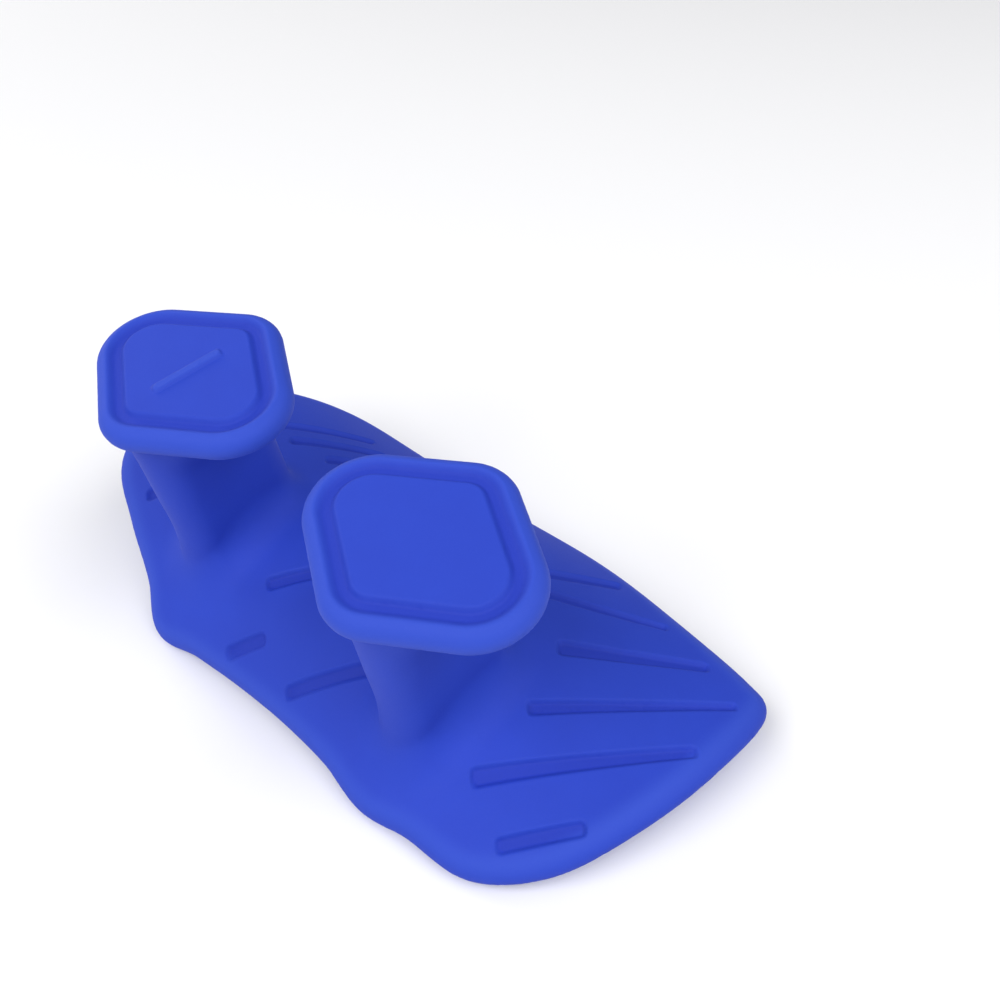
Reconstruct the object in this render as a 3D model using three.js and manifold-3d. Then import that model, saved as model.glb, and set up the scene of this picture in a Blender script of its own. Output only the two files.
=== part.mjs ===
// Finger-post grip pad for weight training, left hand: one soft silicone moulding.
// Millimetres. The moulding is laid out with the cap tops at height 0:
// X runs across the hand from the index side to the little-finger side,
// Y runs from the fingers to the wrist, and Z points from the palm side up the finger posts.
// The finished moulding is then tipped and lifted to the way it lies on a table.
import * as THREE from 'three';
import { mergeVertices } from 'three/addons/utils/BufferGeometryUtils.js';
import Module from 'manifold-3d';

// Pad: a thin shell that is arched over a bar, with a half-round rim
const PAD_THICKNESS = 3.8;
const RIM_RADIUS = PAD_THICKNESS / 2;
const CROWN_DEPTH = 28; // from the cap tops down to the middle of the pad
const CROWN_Y = 3; // the arch is highest along this line
const ARCH_REACH = 20; // distance from the crown line at which the drops below hold
const ARCH_DROP_PALM = 8.8;
const ARCH_DROP_LITTLE_END = 4;
const ARCH_EASES_FROM_X = 18;
const CROWN_FALL = 5.2; // the crown line falls by this much to the little-finger end
const CROWN_FALLS_FROM_X = 22;
const LITTLE_END_X = 66;

// Centre line of the rim, seen from above. Columns: x, y
const PAD_OUTLINE = [
  [-24.7, 3.4],
  [-23.2, -5.4],
  [-15.8, -9.7],
  [-6.5, -14.1],
  [-1.5, -17.6],
  [6, -16.5],
  [19.9, -15.3],
  [33.1, -15.3],
  [40.9, -16.3],
  [47.5, -15],
  [56.3, -13.8],
  [63, -8.1],
  [67.2, 1.6],
  [69.2, 12.8],
  [68.5, 24.2],
  [66.3, 25.2],
  [53.1, 27.7],
  [34.9, 30.7],
  [20, 30.2],
  [2.9, 28.7],
  [-11.4, 27.5],
  [-16.8, 24.9],
  [-20.5, 18],
  [-23.5, 10.5],
];
const PAD_CENTRE = { x: 22, y: 6 };
const PAD_STEPS_AROUND = 72;
const PAD_RINGS = [0.3, 0.52, 0.7, 0.86, 1];
const RIM_STEPS = 4;

// Finger posts: spools that are thin between the fingers and long beside them
const POSTS = [
  { x: 0, y: 0 },
  { x: 41, y: 0 },
];
const POST_STEPS_AROUND = 28;
const POST_SINK = 0.5; // how far the spread foot is let into the pad
// Columns: rise from the pad (0) to the underside of the cap (1), half width X, half length Y,
// and how far the section stands off the cap's middle, toward the fingers
const POST_SECTIONS = [
  [0, 12.2, 13.4, 1],
  [0.045, 10.1, 12.7, 1.1],
  [0.1, 8.4, 11.7, 1.2],
  [0.18, 6.8, 10.6, 1.3],
  [0.3, 5.6, 9.5, 1.3],
  [0.6, 5, 9, 1.3],
  [0.8, 5.2, 9, 1.3],
  [0.92, 8, 9.2, 0.8],
  [1, 11, 9.4, 0.2],
];
const POST_FULLNESS = 0.85; // 1 gives oval sections, and less gives flatter sides

// Caps: four-cornered, each corner an arc round its own centre
const CAP_LONG_CENTRE = 7.6;
const CAP_LONG_RADIUS = 5.8;
const CAP_SHORT_CENTRE = 6.3;
const CAP_SHORT_RADIUS = 4.4;
const CAP_ARC_STEPS = 5;
const CAP_THICKNESS = 3.9;
const CAP_UNDERSIDE_SINK = 0.4; // overlap of cap and post
// Columns: offset from the cap's core outline, height
const CAP_PROFILE = [
  [-4, -CAP_THICKNESS],
  [0, -CAP_THICKNESS],
  [1.4, -3.3],
  [1.95, -1.95],
  [1.4, -0.6],
  [0.5, 0],
  [-0.3, -1],
  [-1.75, -1],
  [-2.2, 0],
];

// Plain raised bar on the index-side cap
const CAP_BAR_FROM = { x: -3.5, y: -2 };
const CAP_BAR_TO = { x: 3.5, y: 2 };
const CAP_BAR_WIDTH = 1.7;
const CAP_BAR_HEIGHT = 0.4;
const CAP_BAR_SINK = 1;

// Hand-side grooves, parallel and slanting to the little-finger side. Columns: x, y, end x, end y
const GROOVES = [
  [57.6, -11.3, 64.6, -2.8],
  [50.4, -7.7, 68.4, 13],
  [49.9, 3, 67.8, 22],
  [47.6, 11.6, 61.6, 24.5],
  [35.5, 14, 53.7, 26.5],
  [11.4, -6.7, 45.3, 28.8],
  [12, -16.1, 16.6, -11.3],
  [23.7, -14.8, 33.5, -4.3],
  [17.5, 11, 31, 26],
  [9, 13.5, 20, 25.8],
  [0, 13.5, 10.5, 25],
  [-7, 12.5, 2.5, 22.5],
  [-12.5, 12.5, -2, 24],
  [-19, -1, -12, 6.5],
  [-15.8, -8, -11.5, -3.2],
];
const GROOVE_WIDTH = 2.3;
const GROOVE_DEPTH = 0.8;
const GROOVE_STEP = 5; // a groove's floor follows the pad in straight steps of about this length

// Grip-side pockets: oblongs in staggered rows, slanting across the rows
const POCKET_FIRST = { x: -3.4, y: -10.8 };
const POCKET_PITCH = { x: 12.15, y: 0.25 };
const ROW_PITCH = { x: 0.08, y: 6.35 };
const POCKET_LENGTH = 8.2;
const POCKET_WIDTH = 3.4;
const POCKET_DEPTH = 1.1;
const POCKET_SLANT_DEG = 162;
// Columns: first pocket, number of pockets. Odd rows stand half a pitch further along.
const POCKET_ROWS = [
  [0, 6],
  [-1, 6],
  [-1, 7],
  [-2, 8],
  [-1, 7],
  [-1, 6],
];

// Grip-side dimples: a row along the fingers, pairs along the wrist, and some between the pockets
const DIMPLE_WIDTH = 2;
const DIMPLE_DEPTH = 0.7;
// Columns: x, y, step x, step y, count
const DIMPLE_RUNS = [
  [-2.7, -15.2, 3.6, 0.15, 16],
  [-5.2, 24, 12.4, 0.4, 5],
  [-1.8, 24.1, 12.4, 0.4, 5],
  [-8.6, -11.6, -3.4, 3.2, 5],
  [-15.2, -8.4, -3.6, 3.2, 3],
  [-15.7, 22.6, 0, -3.2, 2],
  [63.2, -3.4, 0, 3.7, 3],
  [66.8, 14.6, 0.3, 3.6, 2],
  [63.9, 18.1, -2.9, 3.6, 2],
];
// Places counted in pocket pitches and row pitches. Columns: pitch, row, count (two pitches apart)
const DIMPLES_BETWEEN = [
  [0.38, 4.38, 2],
  [0.1, 2.67, 3],
  [-0.45, 3.78, 3],
  [-1.05, 3.22, 2],
  [0.66, 1.55, 2],
  [1.47, 2.07, 2],
  [2.38, 0.43, 2],
  [1.48, -0.18, 2],
];

const CUTTER_CLEARANCE = 1.2; // how far a cutter stands out of the surface

// Round end of a cutter. Columns: distance back from the end's centre and half width, in end radii
const ROUND_END = [
  [1, 0.5],
  [0.4, 1],
];
// Six-sided dimple. Columns: distance from its centre and half width, in radii
const DIMPLE_STATIONS = [
  [-0.87, 0.5],
  [0, 1],
  [0.87, 0.5],
];

// How the moulding lies on a table
const REST_TILT_X_DEG = 8.8;
const REST_TILT_Y_DEG = 1.9;

const SILICONE_BLUE = '#3349cf';
const SILICONE_ROUGHNESS = 0.62;

const SLOPE_STEP = 0.05; // half the span over which the pad's slope is measured
const MERGE_DISTANCE = 1e-5;

const wasm = await Module();
wasm.setup();

const smoothStep = (from, to, value) => THREE.MathUtils.smoothstep(value, from, to);

// Height of the middle of the pad's thickness
function padHeight(x, y) {
  const ease = smoothStep(ARCH_EASES_FROM_X, LITTLE_END_X, x);
  const drop = THREE.MathUtils.lerp(ARCH_DROP_PALM, ARCH_DROP_LITTLE_END, ease);
  const crown = -CROWN_DEPTH - CROWN_FALL * smoothStep(CROWN_FALLS_FROM_X, LITTLE_END_X, x);
  return crown - drop * ((y - CROWN_Y) / ARCH_REACH) ** 2;
}

function padNormal(x, y) {
  const slopeX = (padHeight(x + SLOPE_STEP, y) - padHeight(x - SLOPE_STEP, y)) / (2 * SLOPE_STEP);
  const slopeY = (padHeight(x, y + SLOPE_STEP) - padHeight(x, y - SLOPE_STEP)) / (2 * SLOPE_STEP);
  return new THREE.Vector3(-slopeX, -slopeY, 1).normalize();
}

// The point at a distance off the pad's middle surface, on the hand side if it is positive
function offPad(x, y, distance) {
  return new THREE.Vector3(x, y, padHeight(x, y)).addScaledVector(padNormal(x, y), distance);
}

// A closed solid from rings of equal length, each listed anticlockwise from above, lowest first
function ringSolid(rings) {
  const count = rings[0].length;
  const points = rings.flat();
  const faces = [];
  for (let level = 0; level + 1 < rings.length; level += 1) {
    for (let step = 0; step < count; step += 1) {
      const next = (step + 1) % count;
      const low = level * count;
      const high = low + count;
      faces.push(low + step, low + next, high + next);
      faces.push(low + step, high + next, high + step);
    }
  }
  closeRing(points, faces, rings[0], 0, false);
  closeRing(points, faces, rings[rings.length - 1], (rings.length - 1) * count, true);
  return solidFrom(points, faces);
}

// A fan over one end ring, with its middle at the mean of the ring
function closeRing(points, faces, ring, first, upwards) {
  const middle = new THREE.Vector3();
  ring.forEach((point) => middle.add(point));
  middle.divideScalar(ring.length);
  const hub = points.length;
  points.push(middle);
  ring.forEach((point, step) => {
    const here = first + step;
    const next = first + ((step + 1) % ring.length);
    faces.push(...(upwards ? [here, next, hub] : [next, here, hub]));
  });
}

function solidFrom(points, faces) {
  const geometry = new THREE.BufferGeometry().setFromPoints(points);
  geometry.setIndex(faces);
  const merged = mergeVertices(geometry, MERGE_DISTANCE);
  const vertProperties = new Float32Array(merged.attributes.position.array);
  const triVerts = new Uint32Array(merged.index.array);
  return new wasm.Manifold(new wasm.Mesh({ numProp: 3, vertProperties, triVerts }));
}

function geometryFrom(solid) {
  const mesh = solid.getMesh();
  const geometry = new THREE.BufferGeometry();
  geometry.setAttribute('position', new THREE.BufferAttribute(mesh.vertProperties, 3));
  geometry.setIndex(new THREE.BufferAttribute(mesh.triVerts, 1));
  return geometry;
}

function padShell() {
  const points = PAD_OUTLINE.map(([x, y]) => new THREE.Vector3(x, y, 0));
  const rim = new THREE.CatmullRomCurve3(points, true, 'centripetal').getSpacedPoints(PAD_STEPS_AROUND);
  rim.pop();
  const inward = (point, share) => ({
    x: PAD_CENTRE.x + share * (point.x - PAD_CENTRE.x),
    y: PAD_CENTRE.y + share * (point.y - PAD_CENTRE.y),
  });
  const faceRing = (share, distance) => rim.map((point) => {
    const place = inward(point, share);
    return offPad(place.x, place.y, distance);
  });
  const rings = PAD_RINGS.map((share) => faceRing(share, -RIM_RADIUS));
  for (let step = 1; step < RIM_STEPS; step += 1) {
    rings.push(rimRing(rim, (step / RIM_STEPS - 0.5) * Math.PI));
  }
  rings.push(...PAD_RINGS.map((share) => faceRing(share, RIM_RADIUS)).reverse());
  return ringSolid(rings);
}

// One ring of the half-round rim, at an angle up from the rim's outermost line
function rimRing(rim, angle) {
  return rim.map((point, index) => {
    const before = rim[(index + rim.length - 1) % rim.length];
    const after = rim[(index + 1) % rim.length];
    const normal = padNormal(point.x, point.y);
    const along = new THREE.Vector3().subVectors(after, before);
    const outward = new THREE.Vector3().crossVectors(along, normal).normalize();
    return offPad(point.x, point.y, RIM_RADIUS * Math.sin(angle))
      .addScaledVector(outward, RIM_RADIUS * Math.cos(angle));
  });
}

function post({ x, y }) {
  const top = CAP_UNDERSIDE_SINK - CAP_THICKNESS;
  const bow = (value) => Math.sign(value) * Math.abs(value) ** POST_FULLNESS;
  return ringSolid(POST_SECTIONS.map(([rise, halfWidth, halfLength, offset]) => {
    const ring = [];
    for (let step = 0; step < POST_STEPS_AROUND; step += 1) {
      const angle = (step / POST_STEPS_AROUND) * 2 * Math.PI;
      const place = {
        x: x + halfWidth * bow(Math.cos(angle)),
        y: y - offset + halfLength * bow(Math.sin(angle)),
      };
      const foot = padHeight(place.x, place.y) + RIM_RADIUS - POST_SINK;
      ring.push(new THREE.Vector3(place.x, place.y, THREE.MathUtils.lerp(foot, top, rise)));
    }
    return ring;
  }));
}

// The cap's outline: the furthest of four corner circles in each direction, joined by straight sides
function capRing({ x, y }, offset, height) {
  const span = Math.hypot(CAP_LONG_CENTRE, CAP_SHORT_CENTRE);
  const slope = Math.atan2(CAP_LONG_CENTRE, CAP_SHORT_CENTRE);
  const turn = slope - Math.asin((CAP_SHORT_RADIUS - CAP_LONG_RADIUS) / span);
  const corners = [
    { x: CAP_LONG_CENTRE, y: 0, radius: CAP_LONG_RADIUS, from: -turn, to: turn },
    { x: 0, y: CAP_SHORT_CENTRE, radius: CAP_SHORT_RADIUS, from: turn, to: Math.PI - turn },
    { x: -CAP_LONG_CENTRE, y: 0, radius: CAP_LONG_RADIUS, from: Math.PI - turn, to: Math.PI + turn },
    { x: 0, y: -CAP_SHORT_CENTRE, radius: CAP_SHORT_RADIUS, from: Math.PI + turn, to: 2 * Math.PI - turn },
  ];
  const ring = [];
  corners.forEach((corner) => {
    for (let step = 0; step <= CAP_ARC_STEPS; step += 1) {
      const angle = THREE.MathUtils.lerp(corner.from, corner.to, step / CAP_ARC_STEPS);
      const reach = corner.radius + offset;
      const ringX = x + corner.x + reach * Math.cos(angle);
      const ringY = y + corner.y + reach * Math.sin(angle);
      ring.push(new THREE.Vector3(ringX, ringY, height));
    }
  });
  return ring;
}

function cap(place) {
  return ringSolid(CAP_PROFILE.map(([offset, height]) => capRing(place, offset, height)));
}

// A round-ended bar between two places, from one height off a surface to another
function bar(from, to, width, steps, lowAt, highAt) {
  const radius = width / 2;
  const length = Math.hypot(to.x - from.x, to.y - from.y);
  const stations = [];
  ROUND_END.forEach(([back, half]) => stations.push({ at: radius * (1 - back), half: radius * half }));
  for (let step = 1; step < steps; step += 1) {
    stations.push({ at: THREE.MathUtils.lerp(radius, length - radius, step / steps), half: radius });
  }
  [...ROUND_END].reverse().forEach(([back, half]) => {
    stations.push({ at: length - radius * (1 - back), half: radius * half });
  });
  const along = { x: (to.x - from.x) / length, y: (to.y - from.y) / length };
  return ribbon(from, along, stations, lowAt, highAt);
}

function dimple(place, lowAt, highAt) {
  const radius = DIMPLE_WIDTH / 2;
  const stations = DIMPLE_STATIONS.map(([at, half]) => ({ at: at * radius, half: half * radius }));
  return ribbon(place, { x: 1, y: 0 }, stations, lowAt, highAt);
}

// A closed solid with a row of four-point sections: low right, low left, high left, high right
function ribbon(from, along, stations, lowAt, highAt) {
  const points = [];
  const faces = [];
  stations.forEach(({ at, half }) => {
    const side = (sign) => ({
      x: from.x + along.x * at - sign * along.y * half,
      y: from.y + along.y * at + sign * along.x * half,
    });
    const right = side(-1);
    const left = side(1);
    points.push(lowAt(right), lowAt(left), highAt(left), highAt(right));
  });
  for (let station = 0; station + 1 < stations.length; station += 1) {
    for (let corner = 0; corner < 4; corner += 1) {
      const here = station * 4 + corner;
      const next = station * 4 + ((corner + 1) % 4);
      faces.push(here, next, here + 4);
      faces.push(next, next + 4, here + 4);
    }
  }
  const last = points.length - 4;
  faces.push(0, 2, 1, 0, 3, 2);
  faces.push(last, last + 1, last + 2, last, last + 2, last + 3);
  return solidFrom(points, faces);
}

// Cutters into the hand side and into the grip side
const handSide = (depth) => [
  (place) => offPad(place.x, place.y, RIM_RADIUS - depth),
  (place) => offPad(place.x, place.y, RIM_RADIUS + CUTTER_CLEARANCE),
];
const gripSide = (depth) => [
  (place) => offPad(place.x, place.y, -RIM_RADIUS - CUTTER_CLEARANCE),
  (place) => offPad(place.x, place.y, depth - RIM_RADIUS),
];

function grooveCutters() {
  return GROOVES.map(([x, y, endX, endY]) => {
    const length = Math.hypot(endX - x, endY - y);
    const steps = Math.max(1, Math.round(length / GROOVE_STEP));
    return bar({ x, y }, { x: endX, y: endY }, GROOVE_WIDTH, steps, ...handSide(GROOVE_DEPTH));
  });
}

// A place counted in pocket pitches and row pitches
const patternPlace = (pitch, row) => ({
  x: POCKET_FIRST.x + pitch * POCKET_PITCH.x + row * ROW_PITCH.x,
  y: POCKET_FIRST.y + pitch * POCKET_PITCH.y + row * ROW_PITCH.y,
});

function pocketCutters() {
  const slant = THREE.MathUtils.degToRad(POCKET_SLANT_DEG);
  const reach = { x: (Math.cos(slant) * POCKET_LENGTH) / 2, y: (Math.sin(slant) * POCKET_LENGTH) / 2 };
  const cutters = [];
  POCKET_ROWS.forEach(([first, count], row) => {
    const shift = row % 2 ? 0.5 : 0;
    for (let pitch = first + shift; pitch < first + count; pitch += 1) {
      const middle = patternPlace(pitch, row);
      const from = { x: middle.x - reach.x, y: middle.y - reach.y };
      const to = { x: middle.x + reach.x, y: middle.y + reach.y };
      cutters.push(bar(from, to, POCKET_WIDTH, 1, ...gripSide(POCKET_DEPTH)));
    }
  });
  return cutters;
}

function dimpleCutters() {
  const places = [];
  DIMPLE_RUNS.forEach(([x, y, stepX, stepY, count]) => {
    for (let index = 0; index < count; index += 1) {
      places.push({ x: x + index * stepX, y: y + index * stepY });
    }
  });
  DIMPLES_BETWEEN.forEach(([pitch, row, count]) => {
    for (let index = 0; index < count; index += 1) {
      places.push(patternPlace(pitch + 2 * index, row));
    }
  });
  return places.map((place) => dimple(place, ...gripSide(DIMPLE_DEPTH)));
}

function capBar() {
  const low = (place) => new THREE.Vector3(place.x, place.y, -CAP_BAR_SINK);
  const high = (place) => new THREE.Vector3(place.x, place.y, CAP_BAR_HEIGHT);
  return bar(CAP_BAR_FROM, CAP_BAR_TO, CAP_BAR_WIDTH, 1, low, high);
}

function gripPadGeometry() {
  let body = padShell();
  POSTS.forEach((place) => {
    body = body.add(post(place)).add(cap(place));
  });
  body = body.add(capBar());
  [...grooveCutters(), ...pocketCutters(), ...dimpleCutters()].forEach((cutter) => {
    body = body.subtract(cutter);
  });
  return geometryFrom(body);
}

// Tip the moulding to its rest, then set the middle of its box over the origin and its lowest point on it
function layOnTable(geometry) {
  geometry.rotateX(THREE.MathUtils.degToRad(REST_TILT_X_DEG));
  geometry.rotateY(THREE.MathUtils.degToRad(REST_TILT_Y_DEG));
  geometry.computeBoundingBox();
  const box = geometry.boundingBox;
  geometry.translate(-(box.min.x + box.max.x) / 2, -(box.min.y + box.max.y) / 2, -box.min.z);
  return geometry;
}

const silicone = new THREE.MeshStandardMaterial({
  color: SILICONE_BLUE,
  roughness: SILICONE_ROUGHNESS,
  metalness: 0,
});
const gripPad = new THREE.Mesh(layOnTable(gripPadGeometry()), silicone);
gripPad.name = 'grip_pad';

const group = new THREE.Group();
group.add(gripPad);

export default group;
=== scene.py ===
"""Finger-post grip pad for weight training: one blue silicone moulding for the left hand."""
import math

import bpy
import numpy as np
from bpy.props import FloatProperty, FloatVectorProperty, PointerProperty
from mathutils import Matrix, Vector


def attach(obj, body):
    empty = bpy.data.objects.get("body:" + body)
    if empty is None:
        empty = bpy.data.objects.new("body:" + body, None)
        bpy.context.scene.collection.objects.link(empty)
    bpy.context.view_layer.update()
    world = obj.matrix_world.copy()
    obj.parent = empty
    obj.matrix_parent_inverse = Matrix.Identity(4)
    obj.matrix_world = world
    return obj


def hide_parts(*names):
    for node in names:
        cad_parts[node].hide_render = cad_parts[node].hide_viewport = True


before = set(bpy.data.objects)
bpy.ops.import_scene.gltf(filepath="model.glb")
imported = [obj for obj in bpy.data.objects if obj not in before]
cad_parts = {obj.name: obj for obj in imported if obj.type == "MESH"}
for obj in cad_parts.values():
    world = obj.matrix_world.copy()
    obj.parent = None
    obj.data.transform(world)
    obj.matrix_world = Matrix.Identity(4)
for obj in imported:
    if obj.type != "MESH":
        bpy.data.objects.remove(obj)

bl_info = {
    "name": "Finger-post grip pad",
    "version": (1, 0, 0),
    "blender": (4, 5, 0),
    "location": "3D View > Sidebar > Grip Pad",
    "description": "Makes a one-piece silicone grip pad for weight training and its studio",
    "category": "Mesh",
}

# The moulding is worked out in millimetres in a layout of its own, with the cap tops at height 0:
# X runs from the index side to the little-finger side, Y from the fingers to the wrist,
# and the pad hangs below the caps. It is then tipped to the way it lies on a table.
MM = 0.001
CAD_NODE = "grip_pad"
# Further off than any place on the moulding
FAR = 1e3

# Arch of the pad over a bar
CROWN_Y = 3.0
ARCH_REACH = 20.0
ARCH_DROP_PALM = 8.8
ARCH_DROP_LITTLE_END = 4.0
ARCH_EASES_FROM_X = 18.0
CROWN_FALL = 5.2
CROWN_FALLS_FROM_X = 22.0
LITTLE_END_X = 66.0

# Centre line of the rounded rim, from above. Columns: x, y
PAD_OUTLINE = (
    (-26.9, 4.0),
    (-23.8, -5.0),
    (-15.8, -9.7),
    (-6.5, -14.1),
    (-1.5, -17.6),
    (6.0, -16.5),
    (19.9, -15.3),
    (33.1, -15.3),
    (40.9, -16.3),
    (47.5, -15.0),
    (56.3, -13.8),
    (63.0, -8.1),
    (67.2, 1.6),
    (69.2, 12.8),
    (68.5, 24.2),
    (66.3, 25.2),
    (53.1, 27.7),
    (34.9, 30.7),
    (20.0, 30.2),
    (2.9, 28.7),
    (-11.4, 27.5),
    (-16.8, 24.9),
    (-22.0, 19.0),
    (-25.8, 11.8),
)
OUTLINE_STEPS = 8
# How far in from its edge the pad starts to thin out
RIM_WIDTH = 3.2
# How far off the middle of its thickness a point has to lie to belong to one of the pad's sides
SIDE_FROM = 0.5

POST_PLACES = ((0.0, 0.0), (41.0, 0.0))
# Blades with round ends. Columns: rise from the pad (0) to the cap (1), half width along X,
# half length along Y, offset from the middle of the cap toward the fingers
POST_SECTIONS = (
    (0.0, 3.8, 10.0, 2.6),
    (0.1, 3.8, 9.3, 2.1),
    (0.25, 3.9, 8.9, 1.8),
    (0.6, 4.1, 8.8, 1.8),
    (0.8, 4.4, 8.8, 1.8),
    (1.0, 4.8, 9.0, 1.7),
)
# Where a post starts to spread to the outline of its cap, and how suddenly
POST_SPREADS_FROM = 0.72
POST_SPREAD_POWER = 2.0
# The row that tells the sides of a post from its ends
POST_MIDDLE_ROW = 2
# Fillets round a post's foot, beside it and at its finger and wrist ends, and under its cap
FOOT_FILLET_SIDES = 5.0
FOOT_FILLET_ENDS = 2.4
CAP_FILLET = 1.2
# A foot's fillet grows from none, below the middle of the pad's thickness, to full just under its hand side
FILLET_GROWS_FROM = -1.0
FILLET_FULL_BELOW = 0.4

# Four-cornered cap: an outline round four circles on its two axes
CAP_LONG_CENTRE = 7.6
CAP_LONG_RADIUS = 5.8
CAP_SHORT_CENTRE = 6.3
CAP_SHORT_RADIUS = 4.4
# How far below the cap tops a point may lie and still belong to them
CAP_TOP_REACH = 0.4
# Moat round a cap's middle, from the middle outwards: a wall down, a flat floor and a slope up
MOAT_WALL_FROM = -2.1
MOAT_WALL_TO = -1.4
MOAT_SLOPE_FROM = -0.75
MOAT_SLOPE_TO = 0.4
MOAT_LINES = (-2.25, -2.1, -1.87, -1.63, -1.4, -1.25, -0.9, -0.75, -0.45, -0.17, 0.12, 0.4, 0.55)
# Where the painted highlight on a cap's rounded rim starts and ends, from the moat outwards, and how wide
# the painted highlight on the pad's rim is
RIM_HIGHLIGHT_FROM = -0.3
RIM_HIGHLIGHT_TO = 0.5
PAD_RIM_HIGHLIGHT_WIDTH = 2.2
# How far off the pad's faces a point may lie and still get the rim's painted highlight
RIM_SLACK = 0.1

# Hand-side grooves. Columns: x, y, end x, end y
GROOVES = (
    (11.4, -6.7, 43.7, 28.9),
    (12.0, -16.1, 16.6, -11.3),
    (23.7, -14.8, 33.5, -4.3),
    (17.5, 11.0, 31.0, 26.0),
    (9.0, 13.5, 20.0, 25.8),
    (0.0, 13.5, 10.5, 25.0),
    (-7.0, 12.5, 2.5, 22.5),
    (-12.5, 12.5, -2.0, 24.0),
    (-19.0, -1.0, -12.0, 6.5),
    (-15.8, -8.0, -11.5, -3.2),
    (57.7, -11.4, 64.7, -2.9),
)
GROOVE_WIDTH = 2.3
GROOVE_CORNER = 0.85
# Those that fan out to the little-finger end narrow on their way, and two of them start wider
WIDE_FAN_GROOVES = (
    (50.4, -7.7, 68.4, 13.0),
    (46.7, 12.1, 61.6, 24.9),
)
WIDE_FAN_WIDTH = 2.75
WIDE_FAN_CORNER = 0.8
FAN_GROOVES = (
    (49.9, 3.0, 67.8, 22.0),
    (34.6, 15.0, 53.6, 26.7),
)
FAN_CORNER = 0.55
# Width of such a groove's outer end between its corner radii, as a share of its inner end
FAN_TAPER = 0.35

# How far up a post's fillet a groove still shows
FILLET_GROOVE_REACH = 3.0

# Grip-side pockets, in staggered rows. Columns of the rows: first pocket, number of pockets
POCKET_FIRST = (-3.4, -10.8)
POCKET_PITCH = (12.15, 0.25)
ROW_PITCH = (0.08, 6.35)
POCKET_LENGTH = 8.2
POCKET_WIDTH = 3.4
POCKET_CORNER = 1.3
POCKET_SLANT_DEG = 162.0
POCKET_ROWS = (
    (0, 6),
    (-1, 6),
    (-1, 7),
    (-2, 8),
    (-1, 7),
    (-1, 6),
)

# Grip-side dimples in runs. Columns: x, y, step x, step y, count
DIMPLE_WIDTH = 2.0
DIMPLE_CORNER = 0.95
DIMPLE_RUNS = (
    (-2.7, -15.2, 3.6, 0.15, 16),
    (-5.2, 24.0, 12.4, 0.4, 5),
    (-1.8, 24.1, 12.4, 0.4, 5),
    (-8.6, -11.6, -3.4, 3.2, 5),
    (-15.2, -8.4, -3.6, 3.2, 3),
    (-15.7, 22.6, 0.0, -3.2, 2),
    (63.2, -3.4, 0.0, 3.7, 3),
    (66.8, 14.6, 0.3, 3.6, 2),
    (63.9, 18.1, -2.9, 3.6, 2),
)
# Dimples between the pockets. Columns: pocket pitch, row pitch, count (two pitches apart)
DIMPLES_BETWEEN = (
    (0.38, 4.38, 2),
    (0.1, 2.67, 3),
    (-0.45, 3.78, 3),
    (-1.05, 3.22, 2),
    (0.66, 1.55, 2),
    (1.47, 2.07, 2),
    (2.38, 0.43, 2),
    (1.48, -0.18, 2),
)

# Plain raised bar on the index-side cap. Columns: x, y, end x, end y
CAP_BARS = ((-0.4, -5.2, 0.8, 4.6),)
CAP_BAR_WIDTH = 1.8
CAP_BAR_CORNER = 0.4

# How the moulding lies on a table
REST_TILT_X_DEG = 8.8
REST_TILT_Y_DEG = 1.9
# Where the middle of the index-side cap's top then stands
REST_PLACE = (-21.341, -12.762, 41.536)

# Camera, as it stands to the pad on the table
CAMERA_PLACE = (80.050, -62.057, 115.898)
CAMERA_RIGHT = (0.72311, 0.69051, -0.01748)
CAMERA_UP = (-0.45682, 0.49707, 0.73773)
CAMERA_LENS = 38.0
CAMERA_SENSOR = 36.0

# Mesh: the stretch it is sampled in, and how it is refined near fine edges
MOULD_LOW = (-30.5, -21.0, -47.0)
MOULD_HIGH = (73.0, 34.0, 1.5)
# Cells from one point of the coarse grid to the next, and how near the surface the fine grid is used
COARSE_STRIDE = 4
FINE_GRID_CELLS = 7.0
# Steps over which slopes are measured: along the surface, and in a post's rise
SLOPE_STEP = 0.02
RISE_STEP = 0.02
# Least square of a slope that a point is moved by, so that it isn't thrown far off
LEAST_SLOPE_SQUARED = 0.2
# Rounds in which the nearest place on the pad is found
NEAREST_ROUNDS = 3
# Rounds in which the mesh is evened out, and how far each vertex goes toward its neighbours' middle
EVEN_OUT_ROUNDS = 3
EVEN_OUT_SHARE = 0.6
# Width of the rounded walls of the pressed pattern, and where edges are laid along them
WALL_WIDTH = 0.6
WALL_SHARES = (-0.3, 0.0, 0.33, 0.67, 1.0, 1.3)
# Share of a recess's depth past which its floor is painted darker as shade
PAINTED_SHADE_FROM = 0.5
# The shares of an edge within which a mesh point moves onto a line instead of the edge being cut
SNAP_SHARE = 0.22
# How far past the ends of a pressed outline the distance to it is measured
OUTLINE_REACH = 2.0

# Silicone: size of its clouds of pigment and of its grain, in metres, and how rough it is
CLOUD_SIZE = 0.00625
GRAIN_SIZE = 0.00025
GRAIN_DEPTH = 0.00003
GRAIN_STRENGTH = 0.25
SILICONE_ROUGHNESS = (0.68, 0.8)
SILICONE_IOR = 1.41
PAPER_ROUGHNESS = 0.9

# Studio, in metres
FLOOR_REACH = 3.0
LIGHTS_AIM = (0.0, 0.0, 0.02)
CAMERA_CLIP_START = 0.01
WORLD_STRENGTH = 0.15
# Columns: name, place in metres, width in metres, power in watts
LIGHTS = (
    ("finger_side_light", (0.0, -0.514, 0.613), 0.6, 4.55),
    ("little_finger_side_light", (0.514, 0.0, 0.613), 0.6, 2.8),
    ("index_side_light", (-0.725, 0.0, 0.338), 0.6, 2.15),
    ("wrist_side_light", (0.364, 0.364, 0.613), 0.6, 1.4),
)


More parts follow.
